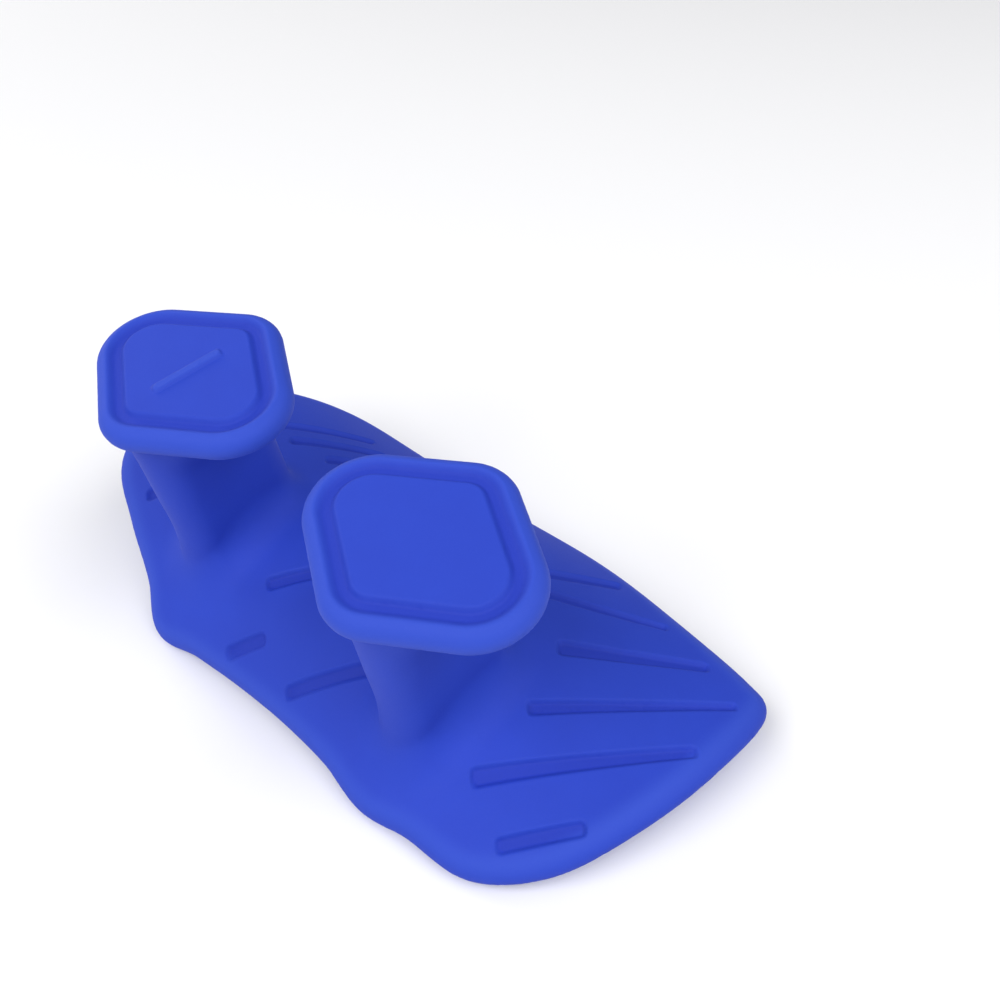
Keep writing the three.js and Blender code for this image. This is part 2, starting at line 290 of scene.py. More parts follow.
def linear(hex_colour):
    """Linear colour of an sRGB hex value."""
    channels = [int(hex_colour[i : i + 2], 16) / 255.0 for i in (1, 3, 5)]
    return tuple(c / 12.92 if c <= 0.04045 else ((c + 0.055) / 1.055) ** 2.4 for c in channels) + (1.0,)


class MouldSizes(bpy.types.PropertyGroup):
    """Sizes of the silicone moulding."""

    pad_thickness: FloatProperty(
        name="Pad thickness", description="Thickness of the curved pad", default=0.0038, unit="LENGTH"
    )
    crown_depth: FloatProperty(
        name="Crown depth",
        description="From the cap tops down to the middle of the pad",
        default=0.028,
        unit="LENGTH",
    )
    cap_thickness: FloatProperty(
        name="Cap thickness", description="Height of a cap's rounded rim", default=0.0039, unit="LENGTH"
    )
    moat_depth: FloatProperty(
        name="Moat depth",
        description="Depth of the moat round a cap's middle",
        default=0.00065,
        unit="LENGTH",
    )
    groove_depth: FloatProperty(
        name="Groove depth",
        description="Depth of the grooves on the hand side",
        default=0.00058,
        unit="LENGTH",
    )
    pocket_depth: FloatProperty(
        name="Pocket depth",
        description="Depth of the pockets on the grip side",
        default=0.0011,
        unit="LENGTH",
    )
    dimple_depth: FloatProperty(
        name="Dimple depth", description="Depth of the round dimples", default=0.0007, unit="LENGTH"
    )
    bar_height: FloatProperty(
        name="Bar height",
        description="Height of the bar on the index-side cap",
        default=0.0005,
        unit="LENGTH",
    )
    mesh_cell: FloatProperty(
        name="Mesh cell",
        description="Spacing of the mesh on smooth stretches",
        default=0.00062,
        unit="LENGTH",
    )


class StudioColours(bpy.types.PropertyGroup):
    """Colours of the moulding and the floor."""

    silicone_deep: FloatVectorProperty(
        name="Deep silicone",
        description="Silicone where its pigment is dense",
        default=linear("#1F3BB4"),
        size=4,
        subtype="COLOR",
    )
    silicone_light: FloatVectorProperty(
        name="Light silicone",
        description="Silicone where its pigment is thin",
        default=linear("#2241BD"),
        size=4,
        subtype="COLOR",
    )
    # Darker colour painted on the floors of the moats, grooves and pockets as shade
    recess_painted_shade: FloatVectorProperty(
        name="Painted shade in recesses",
        description="Silicone on the floors of the moats, grooves and pockets",
        default=linear("#1C36AE"),
        size=4,
        subtype="COLOR",
    )
    # Paler colour painted on the rounded rims and the raised bar as a highlight
    rim_painted_highlight: FloatVectorProperty(
        name="Painted highlight on rims",
        description="Silicone on the rounded rims, where light comes through it",
        default=linear("#2A48BF"),
        size=4,
        subtype="COLOR",
    )
    floor: FloatVectorProperty(
        name="Floor", description="Studio paper", default=linear("#F6F6F8"), size=4, subtype="COLOR"
    )


# Shape of the moulding, as distances in millimetres that are negative inside


def smooth_step(start, end, value):
    share = np.clip((value - start) / (end - start), 0.0, 1.0)
    return share * share * (3.0 - 2.0 * share)


def smooth_step_slope(start, end, value):
    share = np.clip((value - start) / (end - start), 0.0, 1.0)
    return 6.0 * share * (1.0 - share) / (end - start)


def join_smoothly(first, second, reach):
    """Union of two shapes with a fillet that starts at reach from their corner."""
    reach = np.maximum(reach, 1e-6)
    overlap = np.maximum(reach - np.abs(first - second), 0.0) / reach
    return np.minimum(first, second) - overlap * overlap * reach / 4.0


def join_round(first, second, radius):
    """Union of two shapes with a circular fillet."""
    to_first, to_second = np.maximum(radius - first, 0.0), np.maximum(radius - second, 0.0)
    return np.maximum(radius, np.minimum(first, second)) - np.hypot(to_first, to_second)


def curve_between(start, end, leave, arrive, share):
    """A share of the way along the cubic curve between two values, from its slopes at them."""
    cubic = 2.0 * (start - end) + leave + arrive
    square = 3.0 * (end - start) - 2.0 * leave - arrive
    return ((cubic * share + square) * share + leave) * share + start


def closed_curve(points, steps):
    """Points on a smooth closed curve through the given ones, with steps in each span."""
    points = np.array(points, float)
    before, after = np.roll(points, 1, 0), np.roll(points, -1, 0)
    beyond = np.roll(points, -2, 0)
    share = (np.arange(steps) / steps)[:, None]
    spans = []
    for p0, p1, p2, p3 in zip(before, points, after, beyond):
        d0, d1, d2 = (math.sqrt(math.dist(a, b)) for a, b in ((p0, p1), (p1, p2), (p2, p3)))
        leave = d1 * ((p1 - p0) / d0 - (p2 - p0) / (d0 + d1) + (p2 - p1) / d1)
        arrive = d1 * ((p2 - p1) / d1 - (p3 - p1) / (d1 + d2) + (p3 - p2) / d2)
        spans.append(curve_between(p1, p2, leave, arrive, share))
    return np.concatenate(spans)


def smooth_table(rows, at):
    """Values of a table's columns at given places of its first column, without corners."""
    rows = np.array(rows, float)
    stops, columns = rows[:, 0], rows[:, 1:]
    slopes = np.gradient(columns, stops, axis=0)
    at = np.clip(at, stops[0], stops[-1])
    low = np.clip(np.searchsorted(stops, at, side="right") - 1, 0, len(stops) - 2)
    span = stops[low + 1] - stops[low]
    share = (at - stops[low]) / span
    return [
        curve_between(column[low], column[low + 1], slope[low] * span, slope[low + 1] * span, share)
        for column, slope in zip(columns.T, slopes.T)
    ]


def is_inside(points, outline):
    """Whether each plan point lies inside a closed outline."""
    x, y = points.T
    inside = np.zeros(len(points), bool)
    for (ax, ay), (bx, by) in zip(outline, np.roll(outline, -1, 0)):
        if ay == by:
            continue
        crosses = (ay > y) != (by > y)
        inside ^= crosses & (x < ax + (y - ay) * (bx - ax) / (by - ay))
    return inside


def distance_to_line(points, line):
    """Distance from each point to a closed line in space."""
    best = np.full(len(points), np.inf)
    for start, end in zip(line, np.roll(line, -1, 0)):
        along = end - start
        away = points - start
        share = np.clip(away @ along / (along @ along), 0.0, 1.0)
        away -= share[:, None] * along
        best = np.minimum(best, np.einsum("ij,ij->i", away, away))
    return np.sqrt(best)


class Moulding:
    """The moulding's surface, in millimetres in its own layout."""

    def __init__(self, sizes):
        self.rim_radius = sizes.pad_thickness / MM / 2.0
        self.crown_depth = sizes.crown_depth / MM
        self.cap_thickness = sizes.cap_thickness / MM
        self.moat_depth = sizes.moat_depth / MM
        self.outline = closed_curve(PAD_OUTLINE, OUTLINE_STEPS)
        x, y = self.outline.T
        self.rim_line = np.column_stack((x, y, self.pad_height(x, y)[0]))

    def pad_height(self, x, y):
        """Height of the middle of the pad's thickness, and its slopes along X and Y."""
        ease = smooth_step(ARCH_EASES_FROM_X, LITTLE_END_X, x)
        change = ARCH_DROP_LITTLE_END - ARCH_DROP_PALM
        drop = ARCH_DROP_PALM + change * ease
        along = (y - CROWN_Y) / ARCH_REACH
        fall = smooth_step(CROWN_FALLS_FROM_X, LITTLE_END_X, x)
        height = -self.crown_depth - CROWN_FALL * fall - drop * along**2
        slope_x = -CROWN_FALL * smooth_step_slope(CROWN_FALLS_FROM_X, LITTLE_END_X, x)
        slope_x -= change * smooth_step_slope(ARCH_EASES_FROM_X, LITTLE_END_X, x) * along**2
        slope_y = -2.0 * drop * along / ARCH_REACH
        return height, slope_x, slope_y

    def over_pad(self, points):
        """The nearest plan place on the middle of the pad, and the height off it."""
        place = points[:, :2].copy()
        for _ in range(NEAREST_ROUNDS):
            height, slope_x, slope_y = self.pad_height(place[:, 0], place[:, 1])
            scale = 1.0 / np.sqrt(1.0 + slope_x**2 + slope_y**2)
            normal = np.column_stack((-slope_x * scale, -slope_y * scale, scale))
            away = points - np.column_stack((place, height))
            off = np.einsum("ij,ij->i", away, normal)
            place += (away - off[:, None] * normal)[:, :2]
        return place, off

    def from_rim_line(self, place):
        """Distance from a place on the middle of the pad to the centre line of its rim."""
        middle = np.column_stack((place, self.pad_height(*place.T)[0]))
        return distance_to_line(middle, self.rim_line)

    def pad(self, points):
        """Distance to the pad without its posts, and the height off its middle."""
        place, off = self.over_pad(points)
        beyond = self.from_rim_line(place)
        beyond[is_inside(place, self.outline)] *= -1.0
        beyond = np.maximum(beyond + RIM_WIDTH - self.rim_radius, 0.0) * self.rim_radius / RIM_WIDTH
        return np.hypot(off, beyond) - self.rim_radius, off

    def post(self, points, place):
        """Distance to a post, and how far round it a point lies: 0 beside it, 1 before or behind."""
        x, y, z = np.abs(points[:, 0] - place[0]), points[:, 1] - place[1], points[:, 2]
        foot = self.pad_height(points[:, 0], points[:, 1])[0] + self.rim_radius
        top = -self.cap_thickness
        height = top - foot

        def across(rise):
            half_x, half_y, offset = smooth_table(POST_SECTIONS, rise)
            blade = np.hypot(x, np.maximum(np.abs(y + offset) - half_y + half_x, 0.0)) - half_x
            spread = np.clip((rise - POST_SPREADS_FROM) / (1.0 - POST_SPREADS_FROM), 0.0, 1.0)
            spread = spread**POST_SPREAD_POWER
            return blade + spread * (under_cap - blade)

        under_cap = self.cap_outline(points, place)
        rise = (z - foot) / height
        lean = (across(rise + RISE_STEP) - across(rise - RISE_STEP)) / (2.0 * RISE_STEP * height)
        wall = across(rise) / np.sqrt(1.0 + lean**2)
        ends = np.maximum(foot - self.rim_radius - z, z - top / 2.0)
        half_x, half_y, offset = POST_SECTIONS[POST_MIDDLE_ROW][1:]
        beside, along = (x / half_x) ** 2, ((y + offset) / half_y) ** 2
        endways = along / np.maximum(beside + along, 1e-6)
        return np.maximum(wall, ends), endways

    def cap_outline(self, points, place):
        """Plan distance to the line round the four corner circles."""
        x, y = np.abs(points[:, 0] - place[0]), np.abs(points[:, 1] - place[1])
        span = math.hypot(CAP_LONG_CENTRE, CAP_SHORT_CENTRE)
        slope = math.atan2(CAP_LONG_CENTRE, CAP_SHORT_CENTRE)
        turn = slope - math.asin((CAP_SHORT_RADIUS - CAP_LONG_RADIUS) / span)
        across, along = (math.cos(turn), math.sin(turn)), (-math.sin(turn), math.cos(turn))
        side = x * across[0] + y * across[1] - CAP_LONG_CENTRE * across[0] - CAP_LONG_RADIUS
        long_corner = np.hypot(x - CAP_LONG_CENTRE, y) - CAP_LONG_RADIUS
        short_corner = np.hypot(x, y - CAP_SHORT_CENTRE) - CAP_SHORT_RADIUS
        before = (x - CAP_LONG_CENTRE) * along[0] + y * along[1] <= 0.0
        beyond = x * along[0] + (y - CAP_SHORT_CENTRE) * along[1] >= 0.0
        return np.where(before, long_corner, np.where(beyond, short_corner, side))

    def cap(self, points, place):
        rim = self.cap_thickness / 2.0
        out = self.cap_outline(points, place)
        return np.hypot(np.maximum(out, 0.0), points[:, 2] + rim) - rim

    def surface(self, points):
        """Distance to the whole moulding's surface, before moats and pattern are pressed in."""
        body, off = self.pad(points)
        over = smooth_step(FILLET_GROWS_FROM, self.rim_radius - FILLET_FULL_BELOW, off)
        for place in POST_PLACES:
            post, endways = self.post(points, place)
            foot_fillet = FOOT_FILLET_SIDES + (FOOT_FILLET_ENDS - FOOT_FILLET_SIDES) * endways
            body = join_round(body, post, foot_fillet * over)
            body = join_smoothly(body, self.cap(points, place), CAP_FILLET)
        return body

    def moat(self, points):
        """Share of the moat's depth that lies below each point of the caps' tops."""
        out = self.nearest_cap(points)
        wall = smooth_step(MOAT_WALL_FROM, MOAT_WALL_TO, out)
        slope = 1.0 - smooth_step(MOAT_SLOPE_FROM, MOAT_SLOPE_TO, out)
        return wall * slope * (points[:, 2] > -CAP_TOP_REACH)

    def rims(self, points):
        """How far each point gets the painted highlight of a rounded rim: of a cap, or of the pad."""
        cap_rim_highlight = smooth_step(RIM_HIGHLIGHT_FROM, RIM_HIGHLIGHT_TO, self.nearest_cap(points))
        cap_rim_highlight *= points[:, 2] > -self.cap_thickness
        place, off = self.over_pad(points)
        pad_rim_highlight = 1.0 - smooth_step(0.0, PAD_RIM_HIGHLIGHT_WIDTH, self.from_rim_line(place))
        pad_rim_highlight *= np.abs(off) < self.rim_radius + RIM_SLACK
        return np.maximum(cap_rim_highlight, pad_rim_highlight)

    def nearest_cap(self, points):
        return np.min([self.cap_outline(points, place) for place in POST_PLACES], axis=0)


# Mesh over a surface that is given as a distance


def sample_near_surface(distance, low, shape, cell):
    """Distances on a grid: exact near the surface, and from a coarser grid elsewhere."""
    coarse_shape = [size // COARSE_STRIDE + 2 for size in shape]
    places = np.indices(coarse_shape).reshape(3, -1).T * COARSE_STRIDE * cell + low
    coarse = distance(places).reshape(coarse_shape)
    nearest = [(np.arange(size) + COARSE_STRIDE // 2) // COARSE_STRIDE for size in shape]
    values = coarse[np.ix_(*nearest)].copy()
    near = np.argwhere(np.abs(values) < FINE_GRID_CELLS * cell)
    values[tuple(near.T)] = distance(near * cell + low)
    return values


def net_over(values, low, cell):
    """One vertex in each cell that the surface crosses, and a face round each crossed edge."""
    inside = values < 0.0
    size = np.array(values.shape) - 1
    corners = np.array(list(np.ndindex(2, 2, 2)))

    def at_corner(grid, corner):
        return grid[tuple(slice(c, c + n) for c, n in zip(corner, size))]

    count = sum(at_corner(inside, corner).astype(int) for corner in corners)
    mixed = (count > 0) & (count < 8)
    cells = np.argwhere(mixed)
    index = np.full(mixed.shape, -1)
    index[mixed] = np.arange(len(cells))
    total = np.zeros((len(cells), 3))
    crossings = np.zeros(len(cells))
    for axis in range(3):
        for corner in corners[corners[:, axis] == 0]:
            other = corner.copy()
            other[axis] = 1
            start = at_corner(values, corner)[mixed]
            end = at_corner(values, other)[mixed]
            crossed = (start < 0.0) != (end < 0.0)
            share = np.where(crossed, start / np.where(crossed, start - end, 1.0), 0.0)
            total[crossed] += corner
            total[:, axis] += share
            crossings += crossed
    vertices = low + (cells + total / crossings[:, None]) * cell
    faces = []
    for axis in range(3):
        ahead = np.roll(inside, -1, axis)
        edges = np.argwhere(inside != ahead)
        room = np.all((edges > 0) & (edges < size), axis=1)
        edges = edges[room]
        one, two = np.eye(3, dtype=int)[[(axis + 1) % 3, (axis + 2) % 3]]
        ring = [index[tuple((edges - step).T)] for step in (0, one, one + two, two)]
        ring = np.column_stack(ring)
        leaves = inside[tuple(edges.T)]
        faces.append(np.where(leaves[:, None], ring, ring[:, ::-1]))
    return vertices, np.concatenate(faces)


def pull_to_surface(points, distance):
    """Moves points onto the surface along its steepest way."""
    here = distance(points)
    slope = np.column_stack([
        (distance(points + SLOPE_STEP * axis) - here) / SLOPE_STEP for axis in np.eye(3)
    ])
    steepness = np.maximum(np.einsum("ij,ij->i", slope, slope), LEAST_SLOPE_SQUARED)
    return points - (here / steepness)[:, None] * slope


def halve(points, faces):
    """Triangles from four-cornered faces, each cut along its shorter diagonal."""
    a, b, c, d = (points[faces[:, corner]] for corner in range(4))
    shorter = np.linalg.norm(a - c, axis=1) < np.linalg.norm(b - d, axis=1)
    rows = np.where(shorter[:, None], faces, np.roll(faces, -1, 1))
    return np.concatenate([rows[:, [0, 1, 2]], rows[:, [0, 2, 3]]])


def even_out(vertices, faces, distance):
    """Spreads the vertices evenly over the surface."""
    pairs = np.concatenate([faces[:, [a, (a + 1) % 4]] for a in range(4)])
    degree = np.bincount(pairs.ravel(), minlength=len(vertices))[:, None]
    for _ in range(EVEN_OUT_ROUNDS):
        middle = np.column_stack([
            np.bincount(pairs[:, 0], vertices[pairs[:, 1], axis], len(vertices))
            + np.bincount(pairs[:, 1], vertices[pairs[:, 0], axis], len(vertices))
            for axis in range(3)
        ]) / degree
        vertices = pull_to_surface(vertices + EVEN_OUT_SHARE * (middle - vertices), distance)
    return vertices


def split_along(points, triangles, measure, levels):
    """Lays mesh edges along the lines on which a measured value has the given levels."""
    values = measure(points)
    laid = np.zeros(len(points), bool)
    for level in levels:
        points, values = points.copy(), values.copy()
        edges = np.unique(np.sort(triangles[:, [[0, 1], [1, 2], [2, 0]]].reshape(-1, 2), axis=1), axis=0)
        start, end = (values[edges] - level).T
        crossed = start * end < 0.0
        edges, share = edges[crossed], (start / np.where(crossed, start - end, 1.0))[crossed]
        # Points close to the line move onto it, each along the edge on which it is closest
        reach = np.concatenate([share, 1.0 - share])
        ends = np.concatenate([edges, edges[:, ::-1]])
        close = (reach < SNAP_SHARE) & ~laid[ends[:, 0]]
        reach, ends = reach[close], ends[close]
        order = np.argsort(-reach)
        reach, ends = reach[order], ends[order]
        moved = points[ends[:, 0]] + reach[:, None] * (points[ends[:, 1]] - points[ends[:, 0]])
        points[ends[:, 0]] = moved
        values[ends[:, 0]] = level
        laid[ends[:, 0]] = True
        side = np.sign(values - level).astype(int)
        # The other crossed edges get a new point each
        edges = edges[side[edges[:, 0]] * side[edges[:, 1]] < 0]
        first, last = points[edges[:, 0]], points[edges[:, 1]]
        low, high = (values[edges] - level).T
        middle = first + (low / (low - high))[:, None] * (last - first)
        at_middle = measure(middle) - level
        is_low = at_middle * low > 0.0
        begin = np.where(is_low[:, None], middle, first)
        finish = np.where(is_low[:, None], last, middle)
        low, high = np.where(is_low, at_middle, low), np.where(is_low, high, at_middle)
        span = np.where(low == high, 1.0, low - high)
        added = begin + (low / span)[:, None] * (finish - begin)
        keys = edges[:, 0] * len(points) + edges[:, 1]

        def new_point(one, two):
            low_end, high_end = np.minimum(one, two), np.maximum(one, two)
            return len(points) + np.searchsorted(keys, low_end * len(points) + high_end)

        # A corner alone on its side is cut off, and a corner on the line halves its triangle
        corner_side = side[triangles]
        ahead, behind = np.roll(corner_side, -1, 1), np.roll(corner_side, 1, 1)
        alone = (corner_side * ahead < 0) & (corner_side * behind < 0)
        halved = (corner_side == 0) & (ahead * behind < 0)
        kept = triangles[~(alone.any(1) | halved.any(1))]
        row, corner = np.nonzero(alone)
        a, b, c = (triangles[row, (corner + turn) % 3] for turn in range(3))
        ab, ac = new_point(a, b), new_point(a, c)
        pieces = [(a, ab, ac), (ab, b, c), (ab, c, ac)]
        row, corner = np.nonzero(halved)
        a, b, c = (triangles[row, (corner + turn) % 3] for turn in range(3))
        bc = new_point(b, c)
        pieces += [(a, b, bc), (a, bc, c)]
        triangles = np.concatenate([kept, *(np.column_stack(piece) for piece in pieces)])
        points = np.concatenate([points, added])
        values = np.concatenate([values, np.full(len(added), level)])
        laid = np.concatenate([laid, np.full(len(added), True)])
    return points, triangles


# Pattern: places in plan, as middle x, middle y, length, width and turn from X


def bar_places(rows, width):
    """A place for each row of two end points."""
    return [
        (
            (x + end_x) / 2.0,
            (y + end_y) / 2.0,
            math.hypot(end_x - x, end_y - y),
            width,
            math.atan2(end_y - y, end_x - x),
        )
        for x, y, end_x, end_y in rows
    ]


def lattice_place(pitch, row):
    """Plan place on the lattice of the pockets."""
    return tuple(
        first + pitch * along + row * across
        for first, along, across in zip(POCKET_FIRST, POCKET_PITCH, ROW_PITCH)
    )


def pocket_places():
    turn = math.radians(POCKET_SLANT_DEG)
    places = []
    for row, (first, count) in enumerate(POCKET_ROWS):
        shift = 0.5 * (row % 2)
        for pitch in range(first, first + count - (row % 2)):
            places.append((*lattice_place(pitch + shift, row), POCKET_LENGTH, POCKET_WIDTH, turn))
    return places


def dimple_places():
    spots = [
        (x + index * step_x, y + index * step_y)
        for x, y, step_x, step_y, count in DIMPLE_RUNS
        for index in range(count)
    ]
    spots += [
        lattice_place(pitch + 2 * index, row)
        for pitch, row, count in DIMPLES_BETWEEN
        for index in range(count)
    ]
    return [(x, y, DIMPLE_WIDTH, DIMPLE_WIDTH, 0.0) for x, y in spots]


def inset_outline(place, corner, taper):
    """Corners of a place's outline, moved in by its corner radius."""
    x, y, length, width, turn = place
    along, across = length / 2.0 - corner, width / 2.0 - corner
    narrow = across * taper
    shape = np.array([(-along, -across), (along, -narrow), (along, narrow), (-along, across)])
    cos, sin = math.cos(turn), math.sin(turn)
    return shape @ np.array([(cos, sin), (-sin, cos)]) + (x, y)


def distance_to_outlines(points, places, corner, taper):
    """Plan distance to the nearest outline, negative inside one; large where none is near."""
    best = np.full(len(points), FAR)
    plan = points[:, :2]
    for place in places:
        outline = inset_outline(place, corner, taper)
        near = np.hypot(*(plan - place[:2]).T) < place[2] / 2.0 + OUTLINE_REACH
        distance = distance_to_line(plan[near], outline)
        distance[is_inside(plan[near], outline)] *= -1.0
        best[near] = np.minimum(best[near], distance - corner)
    return best


# Geometry nodes: what presses a repeated outline into a surface


def add_node(tree, kind, inputs=None, **settings):
    """A node with its settings, and with values or links on its inputs."""
    node = tree.nodes.new(kind)
    for name, value in settings.items():
        setattr(node, name, value)
    for key, value in (inputs or {}).items():
        if isinstance(value, bpy.types.NodeSocket):
            tree.links.new(value, node.inputs[key])
        else:
            node.inputs[key].default_value = value
    return node


def pressing_tree():
    """Sets an outline on each place and presses the surface in below it, with a rounded wall."""
    tree = bpy.data.node_groups.new("Press outlines into surface", "GeometryNodeTree")
    tree.is_modifier = True
    sockets = (
        ("Geometry", "NodeSocketGeometry"),
        ("Places", "NodeSocketObject"),
        ("Outline", "NodeSocketObject"),
        ("Side", "NodeSocketString"),
        ("Corner Radius", "NodeSocketFloat"),
        ("Depth", "NodeSocketFloat"),
        ("Wall Width", "NodeSocketFloat"),
        ("Material", "NodeSocketMaterial"),
    )
    for name, kind in sockets:
        tree.interface.new_socket(name, in_out="INPUT", socket_type=kind)
    tree.interface.new_socket("Geometry", in_out="OUTPUT", socket_type="NodeSocketGeometry")
    given = add_node(tree, "NodeGroupInput").outputs

    # One outline on each place, all of them flat at height 0
    spots = add_node(tree, "GeometryNodeObjectInfo", {"Object": given["Places"]})
    outline = add_node(tree, "GeometryNodeObjectInfo", {"Object": given["Outline"]})
    turn = add_node(tree, "GeometryNodeInputNamedAttribute", {"Name": "turn"}, data_type="FLOAT")
    upright = add_node(tree, "ShaderNodeCombineXYZ", {"Z": turn.outputs["Attribute"]})
    size = add_node(tree, "GeometryNodeInputNamedAttribute", {"Name": "size"}, data_type="FLOAT_VECTOR")
    instances = add_node(
        tree,
        "GeometryNodeInstanceOnPoints",
        {
            "Points": spots.outputs["Geometry"],
            "Instance": outline.outputs["Geometry"],
            "Rotation": upright.outputs[0],
            "Scale": size.outputs["Attribute"],
        },
    )
    outlines = add_node(tree, "GeometryNodeRealizeInstances", {0: instances.outputs[0]})

    # Distance to them, seen from above
    place = add_node(tree, "GeometryNodeInputPosition")
    flat = add_node(
        tree, "ShaderNodeVectorMath", {0: place.outputs[0], 1: (1.0, 1.0, 0.0)}, operation="MULTIPLY"
    )
    nearest = add_node(
        tree,
        "GeometryNodeProximity",
        {0: outlines.outputs[0], "Sample Position": flat.outputs[0]},
        target_element="FACES",
    )
    edge = add_node(
        tree,
        "ShaderNodeMath",
        {0: nearest.outputs["Distance"], 1: given["Corner Radius"]},
        operation="SUBTRACT",
    )

    # The full depth past the wall, and none outside the outline
    wall_end = add_node(tree, "ShaderNodeMath", {0: given["Wall Width"], 1: -1.0}, operation="MULTIPLY")
    share = add_node(
        tree,
        "ShaderNodeMapRange",
        {
            "Value": edge.outputs[0],
            "From Min": wall_end.outputs[0],
            "From Max": 0.0,
            "To Min": given["Depth"],
            "To Max": 0.0,
        },
        interpolation_type="SMOOTHSTEP",
    )
    side = add_node(
        tree, "GeometryNodeInputNamedAttribute", {"Name": given["Side"]}, data_type="FLOAT"
    )
    depth = add_node(
        tree, "ShaderNodeMath", {0: share.outputs[0], 1: side.outputs["Attribute"]}, operation="MULTIPLY"
    )
    inwards = add_node(tree, "ShaderNodeMath", {0: depth.outputs[0], 1: -1.0}, operation="MULTIPLY")
    normal = add_node(tree, "GeometryNodeInputNormal")
    offset = add_node(
        tree,
        "ShaderNodeVectorMath",
        {0: normal.outputs[0], "Scale": inwards.outputs[0]},
        operation="SCALE",
    )
    pressed = add_node(
        tree,
        "GeometryNodeSetPosition",
        {"Geometry": given["Geometry"], "Offset": offset.outputs[0]},
    )
    realized = add_node(tree, "GeometryNodeRealizeInstances", {0: pressed.outputs[0]})
    finished = add_node(
        tree,
        "GeometryNodeSetMaterial",
        {"Geometry": realized.outputs[0], "Material": given["Material"]},
    )
    add_node(tree, "NodeGroupOutput", {0: finished.outputs[0]})
    return tree


def places_object(name, places, corner):
    """A point for each place, with its turn and the size of its outline inside the corner radius."""
    mesh = bpy.data.meshes.new(name)
    mesh.from_pydata([(x * MM, y * MM, 0.0) for x, y, *_ in places], [], [])
    spans = [
        ((length - 2 * corner) * MM, (width - 2 * corner) * MM, 1.0)
        for _, _, length, width, _ in places
    ]
    turns = [turn for *_, turn in places]
    mesh.attributes.new("size", "FLOAT_VECTOR", "POINT").data.foreach_set("vector", np.ravel(spans))
    mesh.attributes.new("turn", "FLOAT", "POINT").data.foreach_set("value", turns)
    return bpy.data.objects.new(name, mesh)


def outline_object(name, taper):
    """An outline of unit length and width whose far end is narrower by the taper."""
    mesh = bpy.data.meshes.new(name)
    near, far = 0.5, 0.5 * taper
    corners = [(-0.5, -near, 0.0), (0.5, -far, 0.0), (0.5, far, 0.0), (-0.5, near, 0.0)]
    mesh.from_pydata(corners, [], [(0, 1, 2, 3)])
    return bpy.data.objects.new(name, mesh)


def set_inputs(modifier, **values):
    """Sets a geometry modifier's inputs, each by its socket's identifier."""
    sockets = {
        item.name: item.identifier
        for item in modifier.node_group.interface.items_tree
        if item.in_out == "INPUT"
    }
    for name, value in values.items():
        modifier[sockets[name.replace("_", " ")]] = value


def bake(piece):
    """Turns a piece's modifiers into plain mesh."""
    depsgraph = bpy.context.evaluated_depsgraph_get()
    mesh = bpy.data.meshes.new_from_object(piece.evaluated_get(depsgraph))
    piece.modifiers.clear()
    old = piece.data
    piece.data = mesh
    bpy.data.meshes.remove(old)
    mesh.name = piece.name


# Materials


def moulded_silicone(colours):
    """Pigmented silicone rubber: matte all over from a bead-blasted mould, with a paler painted highlight
    on its rounded rims and raised bar, and darker painted shade on its pressed floors."""
    material = bpy.data.materials.new("Moulded silicone rubber, blue")
    material.use_nodes = True
    tree = material.node_tree
    shader = tree.nodes["Principled BSDF"]
    place = add_node(tree, "ShaderNodeTexCoord").outputs["Object"]
    # Cloudy pigment, a few millimetres across
    cloud = add_node(
        tree, "ShaderNodeTexNoise", {"Vector": place, "Scale": 1.0 / CLOUD_SIZE, "Detail": 3.0}
    ).outputs["Fac"]
    colour = add_node(
        tree,
        "ShaderNodeMix",
        {0: cloud, 6: colours.silicone_deep, 7: colours.silicone_light},
        data_type="RGBA",
    ).outputs[2]
    # Painted shade on the recess floors and a painted highlight on the rims and the raised bar, mixed in by
    # their mesh attributes
    for name, tone in (("recess", colours.recess_painted_shade), ("rim", colours.rim_painted_highlight)):
        share = add_node(tree, "ShaderNodeAttribute", attribute_name=name).outputs["Fac"]
        colour = add_node(
            tree, "ShaderNodeMix", {0: share, 6: colour, 7: tone}, data_type="RGBA"
        ).outputs[2]
    tree.links.new(colour, shader.inputs["Base Color"])
    # Grain left by the mould, 0.1 mm in the real one and drawn at 0.25 mm to show
    grain = add_node(
        tree, "ShaderNodeTexNoise", {"Vector": place, "Scale": 1.0 / GRAIN_SIZE, "Detail": 2.0}
    ).outputs["Fac"]
    bump = add_node(
        tree,
        "ShaderNodeBump",
        {"Strength": GRAIN_STRENGTH, "Distance": GRAIN_DEPTH, "Height": grain},
    ).outputs[0]
    tree.links.new(bump, shader.inputs["Normal"])
    smoothest, roughest = SILICONE_ROUGHNESS
    rough = add_node(
        tree, "ShaderNodeMapRange", {"Value": grain, "To Min": smoothest, "To Max": roughest}
    ).outputs[0]
    tree.links.new(rough, shader.inputs["Roughness"])
    shader.inputs["IOR"].default_value = SILICONE_IOR
    return material


def studio_paper(colour):
    """Matte white studio paper."""
    material = bpy.data.materials.new("Matte studio paper")
    material.use_nodes = True
    shader = material.node_tree.nodes["Principled BSDF"]
    shader.inputs["Base Color"].default_value = colour
    shader.inputs["Roughness"].default_value = PAPER_ROUGHNESS
    return material


# Operators


